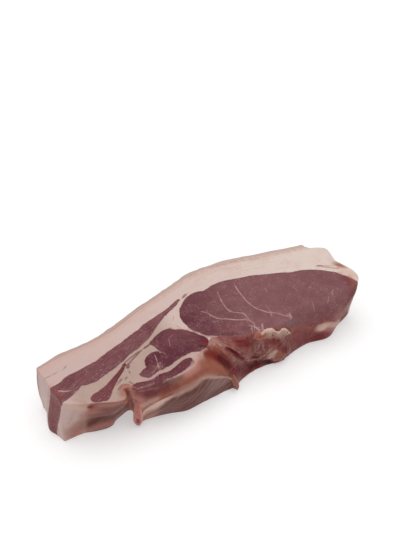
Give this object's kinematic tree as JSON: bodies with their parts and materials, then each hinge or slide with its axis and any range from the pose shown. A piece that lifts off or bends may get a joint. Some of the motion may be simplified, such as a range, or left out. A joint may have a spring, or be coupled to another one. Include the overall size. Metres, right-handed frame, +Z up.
{
  "type": "pork rib steak",
  "caption": "Thick raw pork rib steak cut across the loin: rind and back fat, oval loin eye, belly strip, flank strip and rib meat, lying on its cut face.",
  "frame": {"origin": "centre of the underside's outline box, on the surface that the steak lies on", "axes": "+X along the steak towards the loin eye's end, +Y towards the rind, +Z up through the thickness"},
  "size_m": [0.2046, 0.0739, 0.032],
  "materials": {
    "fat": "cool firm pork fat with rind, pale pinkish beige, softly moist",
    "loin_eye": "moist raw lean, greyish pink with fine marbling",
    "belly_strip": "moist raw lean, mauve brown with streaks along its grain",
    "flank_strip": "moist raw lean, dark pinkish red",
    "rib_meat": "moist dark raw lean under a pale streaky membrane"
  },
  "bodies": {
    "root": {"fat": "fat", "loin_eye": "loin_eye", "belly_strip": "belly_strip", "flank_strip": "flank_strip", "rib_meat": "rib_meat"}
  },
  "joints": []
}
